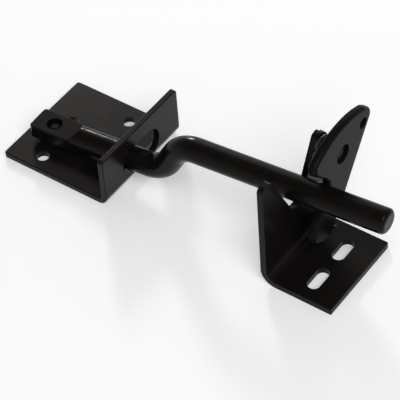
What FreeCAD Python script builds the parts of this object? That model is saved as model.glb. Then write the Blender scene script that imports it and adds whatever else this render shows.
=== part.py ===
import FreeCAD, Part
import Sketcher
import math
import os

# Gate latch in two halves. The gate half is a bent plate that carries a swinging steel bar,
# flattened at its rear end into an eye and cranked once. The post half is a bent plate with
# a V notch that takes the bar, and a sprung dog that hooks over it.
# Millimetres. Origin: centre of the gate plate's back face. X runs along the bar, Z away
# from the gate.

doc = FreeCAD.newDocument("gate_latch")

SIZES = [
    # Gate bracket
    ("stock", 3.2, "sheet thickness of both brackets"),
    ("bend_inner", 2.4, "inside radius of the gate plate bend"),
    ("plate_long", 64.2, "gate plate, free edge to outer face of the flange"),
    ("plate_wide", 60.4, "gate plate and flange width"),
    ("flange_tall", 29.2, "flange height over the back face"),
    ("corner_round", 1.6, "corner radius of the sheet blanks"),
    ("edge_soft", 0.5, "rounding of the sheet rims"),
    ("screw_bore", 6.5, "screw hole diameter"),
    ("near_screw_x", 18.4, "near screw hole from the free edge"),
    ("near_screw_y", 8.2, "near screw hole from the near edge"),
    ("mid_screw_x", 15.6, "middle screw hole from the free edge"),
    ("mid_screw_y", 35.4, "middle screw hole from the near edge"),
    ("far_screw_x", 40.1, "far screw hole from the free edge"),
    ("far_screw_y", 50.4, "far screw hole from the near edge"),
    ("window_near", 14.5, "flange window, near end from the near edge"),
    ("window_far", 44.0, "flange window, far end from the near edge"),
    ("window_low", 3.8, "window's lower side over the back face"),
    ("window_play_top", 0.6, "gap over the bar in the window"),
    # Bar
    ("bar_bore", 12.7, "bar diameter"),
    ("pivot_x", 16.6, "bar pivot from the free edge"),
    ("pivot_y", 21.55, "bar pivot from the near edge"),
    ("rear_axis", 9.7, "height of the eye's middle over the back face"),
    ("swing_rest", 2.15, "bar angle at rest, degrees"),
    ("eye_wide", 14.0, "width of the flattened eye"),
    ("eye_thick", 7.6, "thickness of the flattened eye"),
    ("eye_front", 10.8, "eye end from the pivot"),
    ("eye_rear", 12.3, "end of the flat from the pivot"),
    ("eye_taper_start", 10.0, "start of the taper at the eye's rear from the pivot"),
    ("eye_taper_end", 17.0, "end of that taper from the pivot"),
    ("eye_taper_wide", 9.6, "width at the taper's end"),
    ("ramp_slope", 48.0, "slope from the flat up to the round bar, degrees"),
    ("eye_round", 1.8, "corner radius of the eye"),
    ("eye_soft", 0.5, "rounding of the eye's rims"),
    ("eye_sink", 8.0, "counterbore over the pivot rivet"),
    ("eye_sink_deep", 3.0, "depth of that counterbore"),
    ("kink_start", 64.8, "lower bend corner from the pivot"),
    ("kink_rise", 22.2, "height from the lower to the upper bend corner"),
    ("riser_angle", 60.0, "slope of the riser, degrees"),
    ("rear_lift", 0.5, "rear bar axis over the eye's middle at the pivot"),
    ("rear_tilt", 4.2, "slope of the rear bar, degrees"),
    ("main_tilt", 3.5, "slope of the front bar, degrees"),
    ("bend_axis", 16.0, "bend radius on the bar axis"),
    ("bar_past_wall", 51.8, "bar end past the wall's outer face, along the bar"),
    ("bar_end_round", 2.2, "rounding of the bar's end"),
    ("run_gap", 0.06, "radial clearance of both pivots"),
    ("face_gap", 0.15, "end play at each face of both pivots"),
    ("pivot_pin", 5.0, "shank diameter of the bar's rivet"),
    ("pivot_head", 7.0, "upset head of the bar's rivet"),
    ("pivot_head_tall", 1.5, "height of that head"),
    ("pivot_sunk", 8.6, "countersink in the plate's back"),
    ("pivot_sunk_deep", 1.6, "depth of the countersink"),
    ("spacer_wide", 13.0, "diameter of the spacer under the eye"),
    # Catch bracket
    ("halves_apart", 89.6, "flange outer face to wall outer face"),
    ("catch_side", 0.4, "catch near edge from the gate plate's near edge"),
    ("catch_wide", 49.7, "catch width"),
    ("base_long", 38.5, "catch base, wall outer face to free edge"),
    ("catch_bend_inner", 4.8, "inside radius of the catch bend"),
    ("catch_corner", 0.6, "corner radius of the catch base"),
    ("near_prong_tall", 61.5, "near prong height over the back face"),
    ("far_prong_drop", 2.7, "far prong's top under the near prong's top"),
    ("near_prong_land", 6.7, "width of the near prong at its top"),
    ("far_prong_land", 5.1, "width of the far prong at its top"),
    ("prong_round", 2.6, "tip radius of the prongs"),
    ("notch_floor_half", 3.25, "half width of the notch floor"),
    ("notch_round", 4.8, "corner radius of the notch floor"),
    ("notch_play", 5.75, "gap under the bar in the notch"),
    ("notch_offset", 0.15, "notch centre from the resting bar, towards the far edge"),
    ("slot_from_wall", 23.1, "slot centre line from the wall's outer face"),
    ("slot_near", 13.3, "first slot centre from the catch's near edge"),
    ("slot_pitch", 21.1, "distance between the slot centres"),
    ("slot_long", 14.0, "slot length"),
    ("slot_wide", 6.5, "slot width"),
    # Dog and its pivot
    ("prong_land", 4.1, "dog pivot from the wall's far edge"),
    ("dog_pivot_drop", 5.3, "dog pivot under the far prong's top"),
    ("dog_gap", 8.9, "wall inner face to the dog's back"),
    ("dog_thick", 4.2, "dog thickness"),
    ("dog_soft", 1.8, "rounding of the dog's front rim"),
    ("dog_back_soft", 0.9, "rounding of the dog's back rim"),
    ("dog_pin", 4.6, "shank diameter of the dog's rivet"),
    ("dog_sink", 9.9, "counterbore in the dog's front"),
    ("dog_sink_deep", 2.6, "depth of that counterbore"),
    ("dog_upset", 8.0, "upset head of the dog's rivet"),
    ("dog_upset_tall", 1.2, "height of that head"),
    ("pin_proud", 0.2, "plain end of the dog's rivet past the wall"),
    ("sleeve_wide", 7.4, "outer diameter of the dog's sleeve"),
    ("cord_bore", 5.8, "cord hole diameter"),
    ("cord_y", 17.0, "cord hole from the dog pivot, sideways"),
    ("cord_z", 5.65, "cord hole from the dog pivot, up"),
    ("tip_y", 25.8, "tip's outer corner from the dog pivot, sideways"),
    ("tip_z", 8.4, "tip's outer corner from the dog pivot, up"),
    ("tip_round", 4.5, "corner radius of the tip"),
    ("back_start_y", 19.6, "start of the top curve from the dog pivot, sideways"),
    ("back_start_z", 13.45, "start of the top curve from the dog pivot, up"),
    ("back_radius", 43.0, "radius of the dog's top curve"),
    ("back_round", 5.0, "corner radius at the start of the top curve"),
    ("nose_y", 23.0, "nose from the dog pivot, sideways"),
    ("nose_z", 9.05, "nose from the dog pivot, up"),
    ("nose_round", 2.5, "corner radius of the nose"),
    ("lip_y", 22.5, "lower end of the nose from the dog pivot, sideways"),
    ("lip_z", 3.9, "lower end of the nose from the dog pivot, up"),
    ("lip_round", 2.0, "corner radius of the lip"),
    ("throat_y", 14.6, "mouth corner from the dog pivot, sideways"),
    ("throat_down", 4.0, "mouth corner below the dog pivot"),
    ("mouth_play", 0.95, "gap between the bar and the dog's side"),
    ("mouth_round", 2.5, "radius of the mouth corner"),
    ("mouth_deep", 9.0, "mouth's upper corner below the dog pivot"),
    ("edge_slope", 33.9, "slope of the dog's straight edge from upright, degrees"),
    ("edge_long", 68.0, "length of the dog's straight edge"),
    ("tail_wide", 18.4, "width of the dog's tail"),
    ("tail_round", 6.0, "corner radius of the tail"),
    # Torsion spring on the dog's sleeve
    ("wire", 1.4, "spring wire diameter"),
    ("spring_seat", 0.05, "gap from the wire to the edges that it bears on"),
    ("spring_side", 0.3, "gap from the coil to the wall and to the dog"),
    ("coil_turns", 4, "whole turns of the coil"),
    ("anchor_rise", 2.6, "short leg from the coil to its hook"),
    ("anchor_hook", 3.6, "length of the hook beside the wall's far edge"),
    ("leg_long", 42.5, "long leg behind the dog"),
    ("hook_past", 0.6, "long leg's hook past the dog's front"),
]


def make_sheet():
    sheet = doc.addObject("Spreadsheet::Sheet", "sheet")
    for row, (alias, size, meaning) in enumerate(SIZES, start=1):
        sheet.set(f"A{row}", alias)
        sheet.set(f"B{row}", str(size))
        sheet.set(f"C{row}", meaning)
        sheet.setAlias(f"B{row}", alias)
    doc.recompute()
    return sheet


sheet = make_sheet()


def number(expression):
    """The present value of a formula over the sheet."""
    return float(sheet.evalExpression(expression))


# Places that several pieces share, as formulas over the sheet
BAR_R = "sheet.bar_bore / 2"
PLATE_X0 = "-sheet.plate_long / 2"
PLATE_Y0 = "-sheet.plate_wide / 2"
PIVOT_X = f"({PLATE_X0} + sheet.pivot_x)"
PIVOT_Y = f"({PLATE_Y0} + sheet.pivot_y)"
WALL_X = "(sheet.plate_long / 2 + sheet.halves_apart)"
CATCH_Y0 = f"({PLATE_Y0} + sheet.catch_side)"
DOG_Y_IN_CATCH = "(sheet.catch_wide - sheet.prong_land)"
DOG_Y = f"({CATCH_Y0} + {DOG_Y_IN_CATCH})"
DOG_BACK_X = f"({WALL_X} + sheet.stock + sheet.dog_gap)"
FAR_TOP = "(sheet.near_prong_tall - sheet.far_prong_drop)"
DOG_Z = f"({FAR_TOP} - sheet.dog_pivot_drop)"
SWING = "(sheet.swing_rest * 1 deg)"
BAR_END = f"(({WALL_X} - {PIVOT_X}) / cos({SWING}) + sheet.bar_past_wall)"
TILT = "(sheet.main_tilt * 1 deg)"
REAR_TILT = "(sheet.rear_tilt * 1 deg)"
LOWER_CORNER_Z = f"(sheet.rear_lift + sheet.kink_start * tan({REAR_TILT}))"
UPPER_CORNER = "(sheet.kink_start + sheet.kink_rise / tan(sheet.riser_angle * 1 deg))"
UPPER_CORNER_Z = f"({LOWER_CORNER_Z} + sheet.kink_rise)"


def bar_y(x):
    """The bar axis across, at a place along X."""
    return f"({PIVOT_Y} + ({x} - {PIVOT_X}) * tan({SWING}))"


def bar_z(x):
    """Height of the front bar's axis at a place along X."""
    along = f"(({x} - {PIVOT_X}) / cos({SWING}) - {UPPER_CORNER})"
    return f"(sheet.rear_axis + {UPPER_CORNER_Z} + {along} * tan({TILT}))"


NOTCH_FLOOR = f"({bar_z(WALL_X)} - {BAR_R} / cos({TILT}) - sheet.notch_play)"
NOTCH_MID = f"({bar_y(WALL_X)} - {CATCH_Y0} + sheet.notch_offset)"
MOUTH_SIDE = f"({DOG_Y} - {bar_y(DOG_BACK_X + ' + sheet.dog_thick')} - {BAR_R} - sheet.mouth_play)"


def new_body(name):
    body = doc.addObject("PartDesign::Body", name)
    body.Label = name
    return body


def set_place(body, x, y, z):
    body.setExpression("Placement.Base.x", x)
    body.setExpression("Placement.Base.y", y)
    body.setExpression("Placement.Base.z", z)


def new_sketch(body, name, role):
    plane = [f for f in body.Origin.OriginFeatures if f.Role == role][0]
    sketch = body.newObject("Sketcher::SketchObject", name)
    sketch.AttachmentSupport = (plane, "")
    sketch.MapMode = "FlatFace"
    return sketch


def bind(sketch, constraint, expression):
    index = sketch.addConstraint(constraint)
    sketch.setExpression(f"Constraints[{index}]", expression)


def pin(sketch, geo, end, x, y):
    """Hold a point of the sketch at a place given by two formulas."""
    for kind, axis, formula in (("DistanceX", -2, x), ("DistanceY", -1, y)):
        size = number(formula)
        if abs(size) < 1e-9:
            sketch.addConstraint(Sketcher.Constraint("PointOnObject", geo, end, axis))
        elif size > 0:
            bind(sketch, Sketcher.Constraint(kind, -1, 1, geo, end, size), formula)
        else:
            bind(sketch, Sketcher.Constraint(kind, geo, end, -1, 1, -size), f"-({formula})")


def vector(x, y):
    return FreeCAD.Vector(number(x), number(y), 0)


def closed_outline(sketch, corners):
    """Straight sides through corners, each corner two formulas."""
    spots = [vector(*corner) for corner in corners]
    sides = []
    for index, spot in enumerate(spots):
        following = spots[(index + 1) % len(spots)]
        sides.append(sketch.addGeometry(Part.LineSegment(spot, following), False))
    for index, side in enumerate(sides):
        following = sides[(index + 1) % len(sides)]
        sketch.addConstraint(Sketcher.Constraint("Coincident", side, 2, following, 1))
    for side, corner in zip(sides, corners):
        pin(sketch, side, 1, *corner)


def round_hole(sketch, x, y, diameter):
    circle = Part.Circle(vector(x, y), FreeCAD.Vector(0, 0, 1), number(diameter) / 2)
    geo = sketch.addGeometry(circle, False)
    bind(sketch, Sketcher.Constraint("Diameter", geo, number(diameter)), diameter)
    pin(sketch, geo, 3, x, y)


def pad(body, sketch, length, backwards=False, midplane=False):
    feature = body.newObject("PartDesign::Pad", sketch.Name + "_pad")
    feature.Profile = sketch
    feature.setExpression("Length", length)
    feature.Reversed = backwards
    feature.Midplane = midplane
    doc.recompute()
    return feature


def cut(body, sketch, length=None, backwards=True):
    """Pocket that must take material away; no length cuts through all."""
    before = body.Shape.Volume
    feature = body.newObject("PartDesign::Pocket", sketch.Name + "_cut")
    feature.Profile = sketch
    feature.Reversed = backwards
    if length is None:
        feature.Type = 1
    else:
        feature.setExpression("Length", length)
    doc.recompute()
    if body.Shape.Volume > before - 1e-3:
        raise RuntimeError(sketch.Name + " cut nothing")
    return feature


def revolve(body, sketch, axis):
    feature = body.newObject("PartDesign::Revolution", sketch.Name + "_turned")
    feature.Profile = sketch
    feature.ReferenceAxis = (sketch, [axis])
    feature.Angle = 360
    doc.recompute()
    return feature


def edge_names(shape, test):
    return [f"Edge{i}" for i, edge in enumerate(shape.Edges, start=1) if test(edge)]


def dress(body, kind, test, radius):
    """Fillet or chamfer on the edges that the test picks."""
    base = body.Tip
    names = edge_names(base.Shape, test)
    if not names:
        raise RuntimeError(body.Name + " has no edge to dress")
    feature = body.newObject("PartDesign::" + kind, f"{body.Name}_{kind}_{len(body.Group)}")
    feature.Base = (base, names)
    feature.setExpression("Radius" if kind == "Fillet" else "Size", radius)
    doc.recompute()
    return feature


def along(edge, direction):
    if edge.Curve.TypeId != "Part::GeomLine":
        return False
    return edge.Curve.Direction.isParallel(direction, 1e-6)


def near(a, b):
    return abs(a - b) < 1e-4


X_AXIS = FreeCAD.Vector(1, 0, 0)
Y_AXIS = FreeCAD.Vector(0, 1, 0)
Z_AXIS = FreeCAD.Vector(0, 0, 1)


def angle_section(body, name, long, tall, wall_first):
    """L section of a bent sheet in the XZ plane, the wall at x = 0 or at x = long."""
    inner = f"{long} - sheet.stock"
    if wall_first:
        corners = [("0", "0"), (long, "0"), (long, "sheet.stock"), ("sheet.stock", "sheet.stock"),
                   ("sheet.stock", tall), ("0", tall)]
    else:
        corners = [("0", "0"), (long, "0"), (long, tall), (inner, tall), (inner, "sheet.stock"),
                   ("0", "sheet.stock")]
    sketch = new_sketch(body, name, "XZ_Plane")
    closed_outline(sketch, corners)
    return sketch


def bend_sheet(body, outer_x, inner_x, radius):
    """Round the two edges of the right-angle bend, given its inside radius."""
    stock = number("sheet.stock")
    outer = number(outer_x)
    inner = number(inner_x)
    dress(body, "Fillet", lambda e: along(e, Y_AXIS) and near(e.CenterOfMass.x, outer)
          and near(e.CenterOfMass.z, 0), f"{radius} + sheet.stock")
    dress(body, "Fillet", lambda e: along(e, Y_AXIS) and near(e.CenterOfMass.x, inner)
          and near(e.CenterOfMass.z, stock), radius)


def make_bar_bracket():
    body = new_body("bar_bracket")
    section = angle_section(body, "bracket_section", "sheet.plate_long", "sheet.flange_tall", False)
    pad(body, section, "sheet.plate_wide", backwards=True)
    bend_sheet(body, "sheet.plate_long", "sheet.plate_long - sheet.stock", "sheet.bend_inner")
    tall = number("sheet.flange_tall")
    dress(body, "Fillet", lambda e: along(e, Z_AXIS) and near(e.CenterOfMass.x, 0), "sheet.corner_round")
    dress(body, "Fillet", lambda e: along(e, X_AXIS) and near(e.CenterOfMass.z, tall), "sheet.corner_round")
    soften_rims(body)
    holes = new_sketch(body, "screw_holes", "XY_Plane")
    for place in ("near", "mid", "far"):
        round_hole(holes, f"sheet.{place}_screw_x", f"sheet.{place}_screw_y", "sheet.screw_bore")
    cut(body, holes, "sheet.stock")
    make_rivet_seat(body)
    make_window(body)
    set_place(body, PLATE_X0, PLATE_Y0, "0")
    return body


def soften_rims(body):
    """Small rounding of both rims of a bent sheet."""
    width = body.Shape.BoundBox.YMax
    top = body.Shape.BoundBox.ZMax
    dress(body, "Fillet", lambda e: near(e.CenterOfMass.y, width) or near(e.CenterOfMass.y, 0)
          or (near(e.CenterOfMass.z, top) and along(e, Y_AXIS)), "sheet.edge_soft")


def make_rivet_seat(body):
    """Hole and countersink for the bar's rivet, cut by a turned profile."""
    seat = body.newObject("PartDesign::SubtractiveCone", "rivet_sink")
    seat.setExpression("Radius1", "sheet.pivot_sunk / 2")
    seat.setExpression("Radius2", "sheet.pivot_pin / 2")
    seat.setExpression("Height", "sheet.pivot_sunk_deep")
    plane = [f for f in body.Origin.OriginFeatures if f.Role == "XY_Plane"][0]
    seat.AttachmentSupport = (plane, "")
    seat.MapMode = "FlatFace"
    seat.setExpression("AttachmentOffset.Base.x", "sheet.pivot_x")
    seat.setExpression("AttachmentOffset.Base.y", "sheet.pivot_y")
    doc.recompute()
    hole = new_sketch(body, "rivet_hole", "XY_Plane")
    round_hole(hole, "sheet.pivot_x", "sheet.pivot_y", "sheet.pivot_pin")
    cut(body, hole, "sheet.stock")


def slot_outline(sketch, start, end, wide):
    """Round-ended slot between two centres, each two formulas."""
    first = vector(*start)
    last = vector(*end)
    half = number(wide) / 2
    run = (last - first).normalize()
    side = FreeCAD.Vector(-run.y, run.x, 0) * half
    cap = run * half
    one = sketch.addGeometry(Part.LineSegment(first + side, last + side), False)
    far = sketch.addGeometry(Part.Arc(last + side, last + cap, last - side), False)
    two = sketch.addGeometry(Part.LineSegment(last - side, first - side), False)
    back = sketch.addGeometry(Part.Arc(first - side, first - cap, first + side), False)
    # An arc runs counter-clockwise, so its start is the end of the second straight side
    joins = ((one, 2, far, 2), (two, 1, far, 1), (two, 2, back, 2), (one, 1, back, 1))
    for line, line_end, arc, arc_end in joins:
        sketch.addConstraint(Sketcher.Constraint("Tangent", line, line_end, arc, arc_end))
    bind(sketch, Sketcher.Constraint("Radius", far, half), f"{wide} / 2")
    pin(sketch, back, 3, *start)
    pin(sketch, far, 3, *end)


def make_window(body):
    """Long window in the flange that the bar swings in."""
    axis = f"(sheet.rear_axis + sheet.rear_lift + (sheet.plate_long - sheet.pivot_x) * tan({REAR_TILT}))"
    top = f"({axis} + {BAR_R} + sheet.window_play_top)"
    wide = f"({top} - sheet.window_low)"
    middle = f"(({top} + sheet.window_low) / 2)"
    window = new_sketch(body, "bar_window", "YZ_Plane")
    slot_outline(window, (f"(sheet.window_near + {wide} / 2)", middle),
                 (f"(sheet.window_far - {wide} / 2)", middle), wide)
    cut(body, window)


def make_strike_bar():
    """Bar in its own frame: the pivot at the origin, the eye flat in the XY plane."""
    body = new_body("strike_bar")
    path = make_bar_path(body)
    ring = new_sketch(body, "bar_round", "YZ_Plane")
    round_hole(ring, "0", "sheet.rear_lift", "sheet.bar_bore")
    doc.recompute()
    bar = body.newObject("PartDesign::AdditivePipe", "bar_pipe")
    bar.Profile = ring
    bar.Spine = (path, [f"Edge{i}" for i in range(1, 6)])
    doc.recompute()
    end_x = number(BAR_END)
    bar_r = number(BAR_R)
    dress(body, "Fillet", lambda e: e.Curve.TypeId == "Part::GeomCircle" and near(e.Curve.Radius, bar_r)
          and e.CenterOfMass.x > end_x - bar_r and e.Length > 6 * bar_r, "sheet.bar_end_round")
    flatten_rear(body, "eye_top_cut", "1")
    flatten_rear(body, "eye_bottom_cut", "-1")
    make_eye_plate(body)
    bore = new_sketch(body, "eye_bore", "XY_Plane")
    round_hole(bore, "0", "0", "sheet.pivot_pin + 2 * sheet.run_gap")
    cut_both_ways(body, bore)
    sink = new_sketch(body, "eye_sink", "XY_Plane")
    sink.setExpression("AttachmentOffset.Base.z", "sheet.eye_thick / 2")
    round_hole(sink, "0", "0", "sheet.eye_sink")
    cut(body, sink, "sheet.eye_sink_deep", backwards=False)
    set_place(body, PIVOT_X, PIVOT_Y, "sheet.rear_axis")
    body.setExpression("Placement.Rotation.Angle", SWING)
    return body


def flatten_rear(body, name, side):
    """Take the round bar down to one face of the eye, with a ramp up to the full round."""
    face = f"({side} * sheet.eye_thick / 2)"
    beyond = f"({side} * sheet.bar_bore)"
    ramp_end = f"(sheet.eye_rear + (sheet.bar_bore - sheet.eye_thick / 2) / tan(sheet.ramp_slope * 1 deg))"
    front = "-sheet.eye_front"
    outline = new_sketch(body, name, "XZ_Plane")
    closed_outline(outline, [(front, face), ("sheet.eye_rear", face), (ramp_end, beyond), (front, beyond)])
    cut_both_ways(body, outline)


def make_eye_plate(body):
    """The eye's flat block, tapered at its rear into the round bar."""
    front = "-sheet.eye_front"
    half = "sheet.eye_wide / 2"
    slim = "sheet.eye_taper_wide / 2"
    eye = new_sketch(body, "eye_plate", "XY_Plane")
    closed_outline(eye, [
        (front, f"-{half}"),
        ("sheet.eye_taper_start", f"-{half}"),
        ("sheet.eye_taper_end", f"-{slim}"),
        ("sheet.eye_taper_end", slim),
        ("sheet.eye_taper_start", half),
        (front, half),
    ])
    pad(body, eye, "sheet.eye_thick", midplane=True)
    front_x = number(front)
    side_y = number(half)
    face_z = number("sheet.eye_thick / 2")
    dress(body, "Fillet", lambda e: along(e, Z_AXIS) and near(e.CenterOfMass.x, front_x), "sheet.eye_round")
    dress(body, "Fillet", lambda e: near(abs(e.CenterOfMass.z), face_z)
          and (near(e.CenterOfMass.x, front_x) or near(abs(e.CenterOfMass.y), side_y)), "sheet.eye_soft")


def cut_both_ways(body, sketch):
    before = body.Shape.Volume
    feature = body.newObject("PartDesign::Pocket", sketch.Name + "_cut")
    feature.Profile = sketch
    feature.Type = 1
    feature.Midplane = True
    doc.recompute()
    if body.Shape.Volume > before - 1e-3:
        raise RuntimeError(sketch.Name + " cut nothing")


def make_bar_path(body):
    """Axis of the round bar: rear run, two bends and the front run, in the XZ plane."""
    rear_slope = math.radians(number("sheet.rear_tilt"))
    slope = math.radians(number("sheet.riser_angle"))
    tilt = math.radians(number("sheet.main_tilt"))
    radius = number("sheet.bend_axis")
    start = vector("0", "sheet.rear_lift")
    low = vector("sheet.kink_start", LOWER_CORNER_Z)
    high = vector(UPPER_CORNER, UPPER_CORNER_Z)
    reach = number(BAR_END)
    rear_dir = heading(rear_slope)
    riser_dir = heading(slope)
    front_dir = heading(tilt)
    end = high + front_dir * ((reach - high.x) / front_dir.x)
    low_tangent = radius * math.tan((slope - rear_slope) / 2)
    high_tangent = radius * math.tan((slope - tilt) / 2)
    low_in = low - rear_dir * low_tangent
    low_out = low + riser_dir * low_tangent
    high_in = high - riser_dir * high_tangent
    high_out = high + front_dir * high_tangent
    low_centre = low_in + FreeCAD.Vector(-rear_dir.y, rear_dir.x, 0) * radius
    high_centre = high_out + FreeCAD.Vector(front_dir.y, -front_dir.x, 0) * radius
    low_middle = low_centre + (low - low_centre).normalize() * radius
    high_middle = high_centre + (high - high_centre).normalize() * radius
    path = new_sketch(body, "bar_path", "XZ_Plane")
    rear = path.addGeometry(Part.LineSegment(start, low_in), False)
    low_bend = path.addGeometry(Part.Arc(low_in, low_middle, low_out), False)
    riser = path.addGeometry(Part.LineSegment(low_out, high_in), False)
    high_bend = path.addGeometry(Part.Arc(high_out, high_middle, high_in), False)
    front = path.addGeometry(Part.LineSegment(high_out, end), False)
    corner = path.addGeometry(Part.Point(high), True)
    foot = path.addGeometry(Part.Point(low), True)
    add = path.addConstraint
    pin(path, rear, 1, "0", "sheet.rear_lift")
    add(Sketcher.Constraint("Tangent", rear, 2, low_bend, 1))
    add(Sketcher.Constraint("Tangent", low_bend, 2, riser, 1))
    add(Sketcher.Constraint("Tangent", riser, 2, high_bend, 2))
    add(Sketcher.Constraint("Tangent", high_bend, 1, front, 1))
    bind(path, Sketcher.Constraint("Radius", low_bend, radius), "sheet.bend_axis")
    bind(path, Sketcher.Constraint("Radius", high_bend, radius), "sheet.bend_axis")
    add(Sketcher.Constraint("PointOnObject", foot, 1, riser))
    add(Sketcher.Constraint("PointOnObject", foot, 1, rear))
    bind(path, Sketcher.Constraint("DistanceX", -1, 1, foot, 1, low.x), "sheet.kink_start")
    add(Sketcher.Constraint("PointOnObject", corner, 1, riser))
    add(Sketcher.Constraint("PointOnObject", corner, 1, front))
    bind(path, Sketcher.Constraint("DistanceY", -1, 1, corner, 1, high.y), UPPER_CORNER_Z)
    bind(path, Sketcher.Constraint("Angle", -1, 1, rear, 1, rear_slope), REAR_TILT)
    bind(path, Sketcher.Constraint("Angle", -1, 1, riser, 1, slope), "sheet.riser_angle * 1 deg")
    bind(path, Sketcher.Constraint("Angle", -1, 1, front, 1, tilt), TILT)
    bind(path, Sketcher.Constraint("DistanceX", -1, 1, front, 2, reach), BAR_END)
    doc.recompute()
    return path


def heading(angle):
    return FreeCAD.Vector(math.cos(angle), math.sin(angle), 0)


def make_bar_rivet():
    """Countersunk in the plate's back, upset inside the eye's counterbore."""
    seat = "(sheet.rear_axis + sheet.eye_thick / 2 - sheet.eye_sink_deep + sheet.face_gap)"
    shoulder = f"({seat} + sheet.pivot_head_tall / 2)"
    top = f"({seat} + sheet.pivot_head_tall)"
    body = new_body("bar_pivot_rivet")
    profile = new_sketch(body, "bar_rivet_profile", "XZ_Plane")
    closed_outline(profile, [
        ("0", "0"),
        ("sheet.pivot_sunk / 2", "0"),
        ("sheet.pivot_pin / 2", "sheet.pivot_sunk_deep"),
        ("sheet.pivot_pin / 2", seat),
        ("sheet.pivot_head / 2", seat),
        ("sheet.pivot_head / 2", shoulder),
        ("sheet.pivot_head / 4", top),
        ("0", top),
    ])
    revolve(body, profile, "V_Axis")
    set_place(body, PIVOT_X, PIVOT_Y, "0")
    return body


def make_ring(name, outer, inner, length, role):
    body = new_body(name)
    ring = new_sketch(body, name + "_ring", role)
    round_hole(ring, "0", "0", outer)
    round_hole(ring, "0", "0", inner)
    pad(body, ring, length)
    return body


def make_bar_spacer():
    tall = "sheet.rear_axis - sheet.eye_thick / 2 - sheet.stock - sheet.face_gap"
    bore = "sheet.pivot_pin + 2 * sheet.run_gap"
    body = make_ring("bar_spacer", "sheet.spacer_wide", bore, tall, "XY_Plane")
    set_place(body, PIVOT_X, PIVOT_Y, "sheet.stock")
    return body


def make_catch_bracket():
    body = new_body("catch_bracket")
    section = angle_section(body, "catch_section", "sheet.base_long", "sheet.near_prong_tall", True)
    pad(body, section, "sheet.catch_wide", backwards=True)
    bend_sheet(body, "0", "sheet.stock", "sheet.catch_bend_inner")
    long = number("sheet.base_long")
    dress(body, "Fillet", lambda e: along(e, Z_AXIS) and near(e.CenterOfMass.x, long), "sheet.catch_corner")
    cut_notch(body)
    round_prongs(body)
    slots = new_sketch(body, "base_slots", "XY_Plane")
    reach = "(sheet.slot_long - sheet.slot_wide) / 2"
    slot_outline(slots, ("sheet.slot_from_wall", f"(sheet.slot_near - {reach})"),
                 ("sheet.slot_from_wall", f"(sheet.slot_near + {reach})"), "sheet.slot_wide")
    slot_cut = cut(body, slots, "sheet.stock")
    row = body.newObject("PartDesign::LinearPattern", "slot_row")
    row.Originals = [slot_cut]
    row.Direction = (slots, ["V_Axis"])
    row.setExpression("Length", "sheet.slot_pitch")
    row.Occurrences = 2
    body.Tip = row
    doc.recompute()
    hole = new_sketch(body, "dog_rivet_hole", "YZ_Plane")
    round_hole(hole, DOG_Y_IN_CATCH, DOG_Z, "sheet.dog_pin")
    cut(body, hole, "sheet.stock")
    set_place(body, WALL_X, CATCH_Y0, "0")
    return body


def cut_notch(body):
    """V notch open at the top, with the far prong cut to its own height."""
    over = "(sheet.near_prong_tall + sheet.stock)"
    left = f"({NOTCH_MID} - sheet.notch_floor_half)"
    right = f"({NOTCH_MID} + sheet.notch_floor_half)"
    near_side = "sheet.near_prong_land"
    far_side = "(sheet.catch_wide - sheet.far_prong_land)"
    notch = new_sketch(body, "bar_notch", "YZ_Plane")
    closed_outline(notch, [
        (left, NOTCH_FLOOR),
        (right, NOTCH_FLOOR),
        (far_side, FAR_TOP),
        (far_side, over),
        (near_side, over),
        (near_side, "sheet.near_prong_tall"),
    ])
    cut(body, notch, "sheet.stock")
    step = new_sketch(body, "far_prong_top", "YZ_Plane")
    beyond = "(sheet.catch_wide + sheet.stock)"
    closed_outline(step, [(NOTCH_MID, FAR_TOP), (beyond, FAR_TOP), (beyond, over), (NOTCH_MID, over)])
    cut(body, step, "sheet.stock")
    floor = number(NOTCH_FLOOR)
    dress(body, "Fillet", lambda e: along(e, X_AXIS) and near(e.CenterOfMass.z, floor), "sheet.notch_round")


def round_prongs(body):
    low = number(FAR_TOP)
    high = number("sheet.near_prong_tall")
    dress(body, "Fillet", lambda e: along(e, X_AXIS)
          and (near(e.CenterOfMass.z, low) or near(e.CenterOfMass.z, high)), "sheet.prong_round")


def dog_points():
    """Corners of the dog's outline round its pivot, as formulas across and up."""
    slope = "(sheet.edge_slope * 1 deg)"
    tail_y = f"(sheet.tip_y - sheet.edge_long * sin({slope}))"
    tail_z = f"(sheet.tip_z - sheet.edge_long * cos({slope}))"
    inner_y = f"({tail_y} - sheet.tail_wide * cos({slope}))"
    inner_z = f"({tail_z} + sheet.tail_wide * sin({slope}))"
    side_y = f"(-{MOUTH_SIDE})"
    turn_z = f"({inner_z} + ({side_y} - {inner_y}) / tan({slope}))"
    return {
        "tip": ("sheet.tip_y", "sheet.tip_z"),
        "back_start": ("sheet.back_start_y", "sheet.back_start_z"),
        "nose": ("-sheet.nose_y", "sheet.nose_z"),
        "lip": ("-sheet.lip_y", "sheet.lip_z"),
        "throat": ("-sheet.throat_y", "-sheet.throat_down"),
        "side_top": (side_y, "-sheet.mouth_deep"),
        "side_turn": (side_y, turn_z),
        "tail_inner": (inner_y, inner_z),
        "tail_outer": (tail_y, tail_z),
    }


def bulge_arc(start, end, radius):
    """Shallow arc from start to end with its belly on the right of that direction."""
    chord = end - start
    half = chord.Length / 2
    sag = radius - math.sqrt(radius * radius - half * half)
    out = FreeCAD.Vector(chord.y, -chord.x, 0).normalize()
    return Part.Arc(start, (start + end) * 0.5 + out * sag, end)


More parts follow.
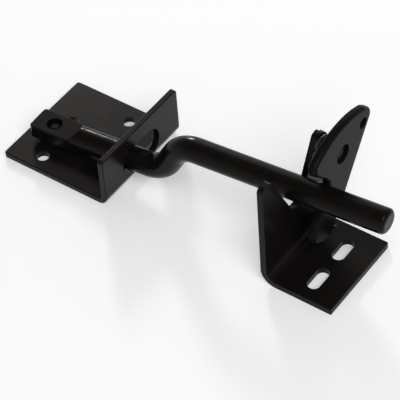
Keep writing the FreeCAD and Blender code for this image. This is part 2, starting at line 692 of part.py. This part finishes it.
def make_dog_outline(body):
    sketch = new_sketch(body, "dog_outline", "YZ_Plane")
    places = dog_points()
    names = list(places)
    spots = {name: vector(*places[name]) for name in names}
    radius = number("sheet.back_radius")
    sides = []
    for index, name in enumerate(names):
        start = spots[name]
        end = spots[names[(index + 1) % len(names)]]
        if name == "back_start":
            shape = bulge_arc(start, end, radius)
        else:
            shape = Part.LineSegment(start, end)
        sides.append(sketch.addGeometry(shape, False))
    for index, side in enumerate(sides):
        following = sides[(index + 1) % len(sides)]
        sketch.addConstraint(Sketcher.Constraint("Coincident", side, 2, following, 1))
    for side, name in zip(sides, names):
        pin(sketch, side, 1, *places[name])
        if name == "back_start":
            bind(sketch, Sketcher.Constraint("Radius", side, radius), "sheet.back_radius")
    return sketch


def make_latch_dog():
    """Blanked plate hook; local origin on the pivot axis at the dog's back face."""
    body = new_body("latch_dog")
    outline = make_dog_outline(body)
    pad(body, outline, "sheet.dog_thick")
    places = dog_points()

    def round_corners(names, radius):
        spots = [vector(*places[name]) for name in names]

        def at_corner(edge):
            middle = edge.CenterOfMass
            return along(edge, X_AXIS) and any(near(middle.y, s.x) and near(middle.z, s.y) for s in spots)

        dress(body, "Fillet", at_corner, radius)

    round_corners(["tail_inner", "tail_outer"], "sheet.tail_round")
    round_corners(["throat", "side_top"], "sheet.mouth_round")
    round_corners(["tip"], "sheet.tip_round")
    round_corners(["back_start"], "sheet.back_round")
    round_corners(["nose"], "sheet.nose_round")
    round_corners(["lip"], "sheet.lip_round")
    front = number("sheet.dog_thick")
    dress(body, "Fillet", lambda e: near(e.CenterOfMass.x, front), "sheet.dog_soft")
    dress(body, "Fillet", lambda e: near(e.CenterOfMass.x, 0), "sheet.dog_back_soft")
    bores = new_sketch(body, "dog_bores", "YZ_Plane")
    round_hole(bores, "0", "0", "sheet.dog_pin + 2 * sheet.run_gap")
    round_hole(bores, "sheet.cord_y", "sheet.cord_z", "sheet.cord_bore")
    cut(body, bores)
    sink = new_sketch(body, "dog_sink", "YZ_Plane")
    sink.setExpression("AttachmentOffset.Base.z", "sheet.dog_thick")
    round_hole(sink, "0", "0", "sheet.dog_sink")
    cut(body, sink, "sheet.dog_sink_deep", backwards=False)
    set_place(body, DOG_BACK_X, DOG_Y, DOG_Z)
    return body


def make_dog_rivet():
    """Plain end through the wall, upset head in the dog's counterbore."""
    end = "-sheet.pin_proud"
    seat = "(sheet.stock + sheet.dog_gap + sheet.dog_thick - sheet.dog_sink_deep + sheet.face_gap)"
    shoulder = f"({seat} + sheet.dog_upset_tall / 2)"
    top = f"({seat} + sheet.dog_upset_tall)"
    body = new_body("dog_pivot_rivet")
    profile = new_sketch(body, "dog_rivet_profile", "XZ_Plane")
    closed_outline(profile, [
        (end, "0"),
        (end, "sheet.dog_pin / 2"),
        (seat, "sheet.dog_pin / 2"),
        (seat, "sheet.dog_upset / 2"),
        (shoulder, "sheet.dog_upset / 2"),
        (top, "sheet.dog_upset / 4"),
        (top, "0"),
    ])
    revolve(body, profile, "H_Axis")
    set_place(body, WALL_X, DOG_Y, DOG_Z)
    return body


def make_dog_sleeve():
    length = "sheet.dog_gap - sheet.face_gap"
    bore = "sheet.dog_pin + 2 * sheet.run_gap"
    body = make_ring("dog_sleeve", "sheet.sleeve_wide", bore, length, "YZ_Plane")
    set_place(body, f"{WALL_X} + sheet.stock", DOG_Y, DOG_Z)
    return body


def wire_leg(points, radius):
    """Round wire along straight runs, each corner between them an arc of one wire diameter."""
    bend = 2 * radius
    edges = []
    start = points[0]
    for before, corner, after in zip(points, points[1:], points[2:]):
        back = (before - corner).normalize() * bend
        ahead = (after - corner).normalize() * bend
        centre = corner + back + ahead
        middle = centre + (corner - centre).normalize() * bend
        edges.append(Part.LineSegment(start, corner + back).toShape())
        edges.append(Part.Arc(corner + back, middle, corner + ahead).toShape())
        start = corner + ahead
    edges.append(Part.LineSegment(start, points[-1]).toShape())
    path = Part.Wire(edges)
    ring = Part.Wire([Part.makeCircle(radius, points[0], points[1] - points[0])])
    return path.makePipeShell([ring], True, False)


def make_dog_spring():
    """Torsion spring on the sleeve: a short leg on the wall's far edge, a long one over the tail."""
    wire_r = number("sheet.wire / 2")
    seat = number("sheet.spring_seat")
    mean = number("sheet.prong_land") + wire_r + seat
    slope = math.radians(number("sheet.edge_slope"))
    edge_up = FreeCAD.Vector(0, math.sin(slope), math.cos(slope))
    edge_out = FreeCAD.Vector(0, math.cos(slope), -math.sin(slope))
    edge_far = FreeCAD.Vector(0, number("sheet.tip_y"), number("sheet.tip_z")).dot(edge_out)
    long = number("sheet.leg_long")
    spread = math.asin((edge_far + wire_r + seat) / math.hypot(mean, long)) - math.atan2(mean, long)
    down = edge_out * math.sin(spread) - edge_up * math.cos(spread)
    leave = (edge_out * math.cos(spread) + edge_up * math.sin(spread)) * mean
    extra = -math.atan2(leave.z, leave.y)
    turns = number("sheet.coil_turns") + extra / (2 * math.pi)
    gap = number("sheet.dog_gap")
    side = number("sheet.spring_side") + wire_r
    pitch = (gap - 2 * side) / turns
    coil = make_coil(pitch, turns, mean, wire_r)
    coil.translate(X_AXIS * side)
    wall_start = FreeCAD.Vector(side, mean, 0)
    wall_corner = wall_start + Z_AXIS * number("sheet.anchor_rise")
    wall_hook = wall_corner - X_AXIS * number("sheet.anchor_hook")
    dog_start = FreeCAD.Vector(gap - side, 0, 0) + leave
    dog_corner = dog_start + down * long
    dog_hook = dog_corner + X_AXIS * (side + number("sheet.dog_thick + sheet.hook_past"))
    shape = coil.fuse([
        wire_leg([wall_start, wall_corner, wall_hook], wire_r),
        wire_leg([dog_start, dog_corner, dog_hook], wire_r),
        Part.makeSphere(wire_r, wall_start),
        Part.makeSphere(wire_r, dog_start),
    ]).removeSplitter()
    spring = doc.addObject("Part::Feature", "dog_spring")
    spring.Label = "dog_spring"
    spring.Shape = shape
    set_place(spring, f"{WALL_X} + sheet.stock", DOG_Y, DOG_Z)
    return spring


def make_coil(pitch, turns, mean, wire_r):
    """Coil along X from y = mean, turning towards the near side as it runs."""
    helix = Part.makeHelix(pitch, pitch * turns, mean)
    ring = Part.Wire([Part.makeCircle(wire_r, FreeCAD.Vector(mean, 0, 0), Y_AXIS)])
    coil = Part.Wire(helix.Edges).makePipeShell([ring], True, True)
    coil = coil.mirror(FreeCAD.Vector(), Y_AXIS)
    coil.rotate(FreeCAD.Vector(), FreeCAD.Vector(1, 1, 1), 120)
    return coil


def check_and_export(bodies):
    for thing in doc.Objects:
        if "Invalid" in thing.State or "Error" in thing.State:
            raise RuntimeError(f"{thing.Label}: {thing.State}")
    for body in bodies:
        if body.Shape.isNull() or not body.Shape.isValid():
            raise RuntimeError(body.Label + " has no valid shape")
    os.makedirs("parts", exist_ok=True)
    for body in bodies:
        body.Shape.exportStep(f"parts/{body.Label}.step")
        print(body.Label, len(body.Shape.Solids), round(body.Shape.Volume, 1))


bodies = [
    make_bar_bracket(),
    make_strike_bar(),
    make_bar_rivet(),
    make_bar_spacer(),
    make_catch_bracket(),
    make_latch_dog(),
    make_dog_rivet(),
    make_dog_sleeve(),
    make_dog_spring(),
]
doc.recompute()
check_and_export(bodies)
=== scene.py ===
import math

import bpy
from mathutils import Matrix, Vector


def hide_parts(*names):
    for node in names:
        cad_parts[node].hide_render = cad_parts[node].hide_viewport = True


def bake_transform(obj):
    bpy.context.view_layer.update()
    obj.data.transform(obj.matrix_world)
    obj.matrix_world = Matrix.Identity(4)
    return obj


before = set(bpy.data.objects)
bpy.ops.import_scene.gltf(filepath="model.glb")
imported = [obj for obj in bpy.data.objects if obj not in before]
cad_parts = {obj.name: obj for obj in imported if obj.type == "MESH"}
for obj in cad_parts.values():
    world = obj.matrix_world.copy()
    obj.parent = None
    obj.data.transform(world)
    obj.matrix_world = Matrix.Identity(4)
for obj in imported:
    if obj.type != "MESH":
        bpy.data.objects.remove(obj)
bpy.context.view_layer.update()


# Coats: colours in linear light, patterns in cells per metre, depths in metres

PLATE_DARK = (0.0075, 0.0063, 0.0058)
PLATE_LIGHT = (0.0105, 0.009, 0.0083)
BAR_DARK = (0.0065, 0.0055, 0.005)
BAR_LIGHT = (0.009, 0.0077, 0.0072)
SLEEVE_DARK = (0.045, 0.043, 0.042)
SLEEVE_LIGHT = (0.085, 0.082, 0.080)
WIRE_DARK = (0.040, 0.038, 0.037)
WIRE_LIGHT = (0.080, 0.077, 0.075)
WARM_SHINE = (1.0, 0.89, 0.80, 1)

CLOUD_CELLS = 55
PATCH_CELLS = 140
PEEL_CELLS = 1500
PEEL_DEPTH = 0.00010
GRAIN_CELLS = 5200
GRAIN_DEPTH = 0.00003
STREAK_CELLS = 900
STREAK_DEPTH = 0.00004
STEEL_METALLIC = 0.85


def new_material(name):
    material = bpy.data.materials.new(name)
    material.use_nodes = True
    tree = material.node_tree
    tree.nodes.clear()
    output = tree.nodes.new("ShaderNodeOutputMaterial")
    shader = tree.nodes.new("ShaderNodeBsdfPrincipled")
    tree.links.new(shader.outputs["BSDF"], output.inputs["Surface"])
    return material, tree, shader


def noise(tree, scale, detail, stretch=(1, 1, 1)):
    """Noise over the part's own coordinates, with scale in cells per metre."""
    place = tree.nodes.new("ShaderNodeTexCoord")
    mapping = tree.nodes.new("ShaderNodeMapping")
    mapping.inputs["Scale"].default_value = stretch
    texture = tree.nodes.new("ShaderNodeTexNoise")
    texture.inputs["Scale"].default_value = scale
    texture.inputs["Detail"].default_value = detail
    texture.inputs["Roughness"].default_value = 0.55
    tree.links.new(place.outputs["Object"], mapping.inputs["Vector"])
    tree.links.new(mapping.outputs["Vector"], texture.inputs["Vector"])
    return texture.outputs["Fac"]


def ramp(tree, value, low, high, dark, light):
    """A value spread between two colours or two greys."""
    node = tree.nodes.new("ShaderNodeValToRGB")
    node.color_ramp.elements[0].position = low
    node.color_ramp.elements[0].color = (*dark, 1)
    node.color_ramp.elements[1].position = high
    node.color_ramp.elements[1].color = (*light, 1)
    tree.links.new(value, node.inputs["Fac"])
    return node.outputs["Color"]


def spread(tree, value, low, high, at_low, at_high):
    """A value mapped from one range to another."""
    node = tree.nodes.new("ShaderNodeMapRange")
    node.inputs["From Min"].default_value = low
    node.inputs["From Max"].default_value = high
    node.inputs["To Min"].default_value = at_low
    node.inputs["To Max"].default_value = at_high
    tree.links.new(value, node.inputs["Value"])
    return node.outputs["Result"]


def bump(tree, shader, *layers):
    """Stacked bump layers, each a height, a strength and a depth in metres."""
    normal = None
    for height, strength, depth in layers:
        node = tree.nodes.new("ShaderNodeBump")
        node.inputs["Strength"].default_value = strength
        node.inputs["Distance"].default_value = depth
        tree.links.new(height, node.inputs["Height"])
        if normal:
            tree.links.new(normal, node.inputs["Normal"])
        normal = node.outputs["Normal"]
    tree.links.new(normal, shader.inputs["Normal"])


def powder_coat(name, dark, light, gloss, level, pattern=1.0):
    """Glossy black powder coat: fine peel, faint cloudiness and uneven gloss.

    gloss is the roughness, level the strength of the shine at its surface.
    """
    material, tree, shader = new_material(name)
    cloud = noise(tree, CLOUD_CELLS * pattern, 4)
    tree.links.new(ramp(tree, cloud, 0.35, 0.7, dark, light), shader.inputs["Base Color"])
    patches = noise(tree, PATCH_CELLS * pattern, 3)
    rough = spread(tree, patches, 0.3, 0.7, gloss - 0.01, gloss + 0.02)
    tree.links.new(rough, shader.inputs["Roughness"])
    shader.inputs["Specular IOR Level"].default_value = level
    shader.inputs["Specular Tint"].default_value = WARM_SHINE
    peel = noise(tree, PEEL_CELLS, 2)
    grain = noise(tree, GRAIN_CELLS, 1)
    bump(tree, shader, (peel, 0.08, PEEL_DEPTH), (grain, 0.05, GRAIN_DEPTH))
    return material


def dull_steel(name, dark, light, gloss):
    """Drawn steel, a little oily, with fine streaks."""
    material, tree, shader = new_material(name)
    streaks = noise(tree, STREAK_CELLS, 4, stretch=(0.3, 1, 1))
    tree.links.new(ramp(tree, streaks, 0.3, 0.75, dark, light), shader.inputs["Base Color"])
    shader.inputs["Metallic"].default_value = STEEL_METALLIC
    rough = spread(tree, streaks, 0.3, 0.7, gloss - 0.06, gloss + 0.08)
    tree.links.new(rough, shader.inputs["Roughness"])
    bump(tree, shader, (streaks, 0.3, STREAK_DEPTH))
    return material


def finish_nodes():
    plate_coat = powder_coat("plate_coat", PLATE_DARK, PLATE_LIGHT, 0.26, 0.15)
    bar_coat = powder_coat("bar_coat", BAR_DARK, BAR_LIGHT, 0.21, 0.10, 0.8)
    catch_coat = powder_coat("catch_coat", PLATE_DARK, PLATE_LIGHT, 0.26, 0.09)
    dog_coat = powder_coat("dog_coat", PLATE_DARK, PLATE_LIGHT, 0.26, 0.045, 1.3)
    rivet_coat = powder_coat("rivet_coat", BAR_DARK, BAR_LIGHT, 0.38, 0.05, 1.7)
    finishes = {
        "bar_bracket": plate_coat,
        "catch_bracket": catch_coat,
        "strike_bar": bar_coat,
        "latch_dog": dog_coat,
        "bar_pivot_rivet": rivet_coat,
        "bar_spacer": rivet_coat,
        "dog_pivot_rivet": rivet_coat,
        "dog_sleeve": dull_steel("sleeve_steel", SLEEVE_DARK, SLEEVE_LIGHT, 0.42),
        "dog_spring": dull_steel("wire_steel", WIRE_DARK, WIRE_LIGHT, 0.38),
    }
    for node, finish in finishes.items():
        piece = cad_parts[node]
        piece.data.materials.clear()
        piece.data.materials.append(finish)


# Spring


def torsion_spring():
    """The dog's spring, copied from its part as one still mesh, its wall leg held by the plate
    and its long leg along the dog.
    """
    spring = bpy.data.objects.new("torsion_spring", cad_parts["dog_spring"].data.copy())
    bpy.context.collection.objects.link(spring)
    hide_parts("dog_spring")
    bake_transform(spring)


# Floor, light and camera

MIDDLE = Vector((0.07, 0, 0.02))
FLOOR_RADIUS = 4.0
FLOOR_DROP = 0.0001
PAPER_SEEN = 0.93
PAPER_THROWN = 0.30
PAPER_GLOW = 0.30


def greys(level):
    return (level, level, level)


def plain_floor():
    """White paper to the camera and in reflections, grey in the light it throws back."""
    bpy.ops.mesh.primitive_circle_add(
        vertices=96, radius=FLOOR_RADIUS, fill_type="NGON", location=(MIDDLE.x, 0, -FLOOR_DROP))
    floor = bpy.context.object
    floor.name = "floor"
    material, tree, shader = new_material("floor_paper")
    rays = tree.nodes.new("ShaderNodeLightPath")
    seen = rays.outputs["Is Camera Ray"]
    for kind in ("Is Glossy Ray", "Is Transmission Ray"):
        either = tree.nodes.new("ShaderNodeMath")
        either.operation = "MAXIMUM"
        tree.links.new(seen, either.inputs[0])
        tree.links.new(rays.outputs[kind], either.inputs[1])
        seen = either.outputs["Value"]
    paper = ramp(tree, seen, 0.0, 1.0, greys(PAPER_THROWN), greys(PAPER_SEEN))
    tree.links.new(paper, shader.inputs["Base Color"])
    glow = ramp(tree, seen, 0.0, 1.0, greys(0), greys(PAPER_GLOW))
    tree.links.new(glow, shader.inputs["Emission Color"])
    shader.inputs["Emission Strength"].default_value = 1.0
    shader.inputs["Roughness"].default_value = 0.9
    shader.inputs["Specular IOR Level"].default_value = 0.1
    floor.data.materials.append(material)


def area_lamp(name, direction, distance, wide, tall, glow):
    """Rectangular lamp that faces the object; glow is its brightness as seen."""
    lamp = bpy.data.lights.new(name, "AREA")
    lamp.shape = "RECTANGLE"
    lamp.size = wide
    lamp.size_y = tall
    lamp.energy = glow * math.pi * wide * tall
    holder = bpy.data.objects.new(name, lamp)
    bpy.context.collection.objects.link(holder)
    away = Vector(direction).normalized()
    holder.location = MIDDLE + away * distance
    holder.rotation_euler = away.to_track_quat("Z", "Y").to_euler()


def studio_world(low, high):
    """Pale room, brighter near the floor's horizon than overhead."""
    world = bpy.data.worlds.new("world")
    bpy.context.scene.world = world
    world.use_nodes = True
    tree = world.node_tree
    place = tree.nodes.new("ShaderNodeTexCoord")
    split = tree.nodes.new("ShaderNodeSeparateXYZ")
    tree.links.new(place.outputs["Generated"], split.inputs["Vector"])
    shade = ramp(tree, split.outputs["Z"], 0.05, 0.65, greys(low), greys(high))
    tree.links.new(shade, tree.nodes["Background"].inputs["Color"])


# The photograph's camera, measured in pixels of its own frame
PHOTO_WIDE = 400
FOCAL = 2051.695
OFF_X = 22.138
OFF_Y = -7.713
AIM = Vector((0.0795, -0.0002, 0.010))
DISTANCE = 0.980137
AZIMUTH = math.radians(38.727)
ELEVATION = math.radians(46.247)
ROLL = math.radians(-4.661)
SENSOR_MM = 36


def photo_camera():
    """Camera that looks back at the aim point, rolled and shifted as the photograph is."""
    flat = Vector((math.sin(AZIMUTH), -math.cos(AZIMUTH), 0))
    back = flat * math.cos(ELEVATION) + Vector((0, 0, math.sin(ELEVATION)))
    level = Vector((math.cos(AZIMUTH), math.sin(AZIMUTH), 0))
    rise = back.cross(level)
    right = level * math.cos(ROLL) + rise * math.sin(ROLL)
    up = rise * math.cos(ROLL) - level * math.sin(ROLL)
    per_pixel = DISTANCE / FOCAL
    place = AIM + back * DISTANCE - right * (OFF_X * per_pixel) + up * (OFF_Y * per_pixel)
    camera = bpy.data.cameras.new("camera")
    camera.sensor_width = SENSOR_MM
    camera.lens = FOCAL / PHOTO_WIDE * SENSOR_MM
    holder = bpy.data.objects.new("camera", camera)
    bpy.context.collection.objects.link(holder)
    turn = Matrix((right, up, back)).transposed()
    holder.matrix_world = Matrix.Translation(place) @ turn.to_4x4()
    bpy.context.scene.camera = holder


finish_nodes()
torsion_spring()
plain_floor()
studio_world(0.75, 0.10)
area_lamp("back_lamp", (-0.35, 0.75, 0.62), distance=1.5, wide=1.6, tall=1.1, glow=0.7)
area_lamp("key_lamp", (-0.66, 0.65, 0.36), distance=1.3, wide=0.15, tall=0.15, glow=75.0)
area_lamp("front_lamp", (0.55, -0.35, 0.80), distance=1.6, wide=0.9, tall=0.9, glow=4.6)
photo_camera()
bpy.context.scene.view_settings.view_transform = "Standard"
